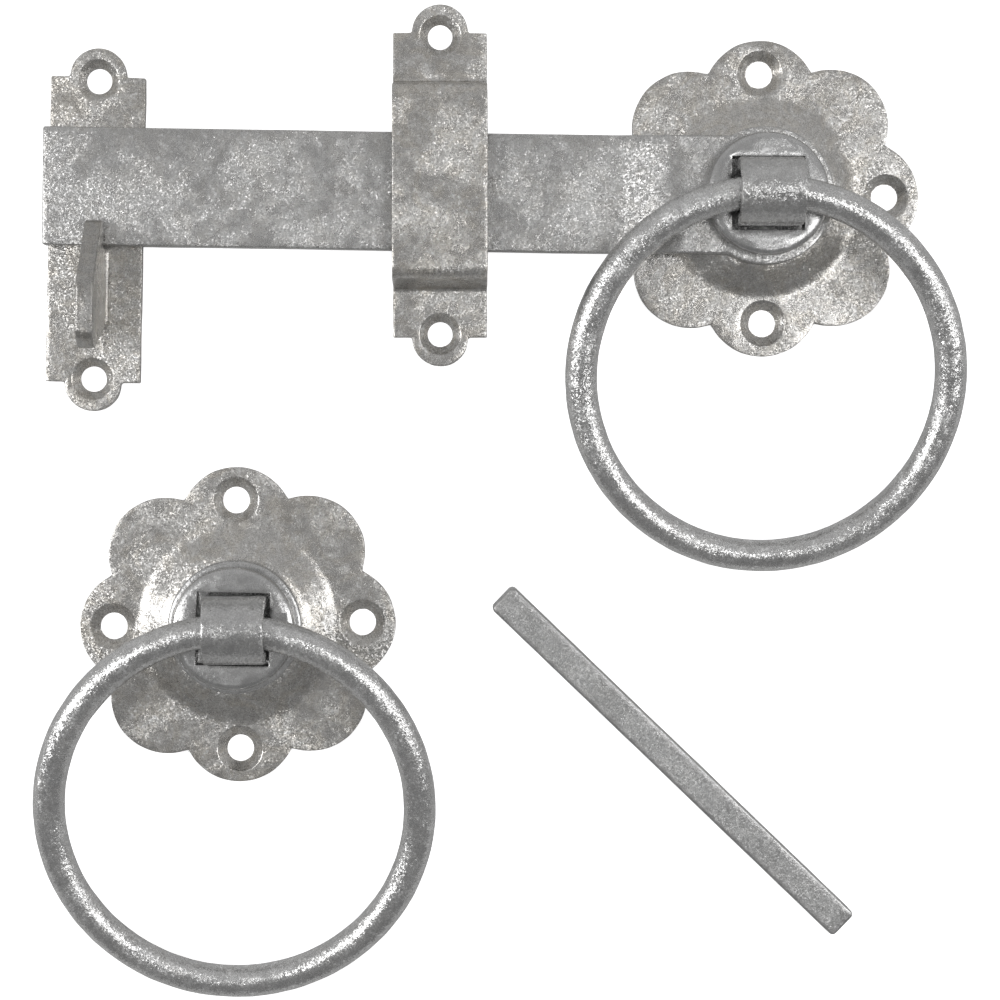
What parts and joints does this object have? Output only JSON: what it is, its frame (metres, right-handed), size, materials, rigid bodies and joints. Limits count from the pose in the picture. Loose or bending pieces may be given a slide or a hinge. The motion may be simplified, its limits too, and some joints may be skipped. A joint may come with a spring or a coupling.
{
  "type": "ring gate latch kit",
  "caption": "Galvanised ring gate latch kit laid flat: latch bar on a scalloped rose with ring handle, staple, striker hook, second ring handle and square spindle.",
  "frame": {"origin": "latch rose's axis on its fixing face, which is the gate's surface", "axes": "+Z out of the gate, -X along the latch bar to the striker, +Y up the gate"},
  "size_m": [0.2328, 0.2509, 0.0315],
  "materials": {
    "galvanised_sheet": "hot-dip galvanised, mottled and speckled",
    "galvanised_bar": "hot-dip galvanised, mottled",
    "turned_zinc": "zinc coated over turned steel, smooth",
    "galvanised_strap": "hot-dip galvanised strap",
    "galvanised_rod": "hot-dip galvanised rod, speckled",
    "spindle_steel": "zinc plated square bar"
  },
  "bodies": {
    "fixings": {"latch_rose": "galvanised_sheet", "handle_rose": "galvanised_sheet", "staple": "galvanised_sheet", "striker_plate": "galvanised_sheet", "striker_hook": "galvanised_sheet", "spindle": "spindle_steel"},
    "latch_drive": {"latch_boss": "turned_zinc", "latch_eye": "galvanised_strap", "latch_bar": "galvanised_bar", "latch_back_washer": "turned_zinc"},
    "latch_ring": {"latch_ring": "galvanised_rod"},
    "handle_drive": {"handle_boss": "turned_zinc", "handle_eye": "galvanised_strap", "handle_spacer": "turned_zinc", "handle_back_washer": "turned_zinc"},
    "handle_ring": {"handle_ring": "galvanised_rod"}
  },
  "joints": [
    {"name": "latch_lift", "type": "hinge", "parent": "fixings", "child": "latch_drive", "pos_m": [0, 0, 0.008], "axis": [0, 0, -1], "range_deg": [0, 5.5]},
    {"name": "latch_ring_swing", "type": "hinge", "parent": "latch_drive", "child": "latch_ring", "pos_m": [0, 0, 0.0231], "axis": [-1, 0, 0], "range_deg": [0, 203]},
    {"name": "handle_turn", "type": "hinge", "parent": "fixings", "child": "handle_drive", "pos_m": [-0.1324, -0.1077, 0.008], "axis": [0, 0, 1], "range_deg": [-35, 35]},
    {"name": "handle_ring_swing", "type": "hinge", "parent": "handle_drive", "child": "handle_ring", "pos_m": [-0.1324, -0.1077, 0.0231], "axis": [-1, 0, 0], "range_deg": [0, 180]}
  ]
}
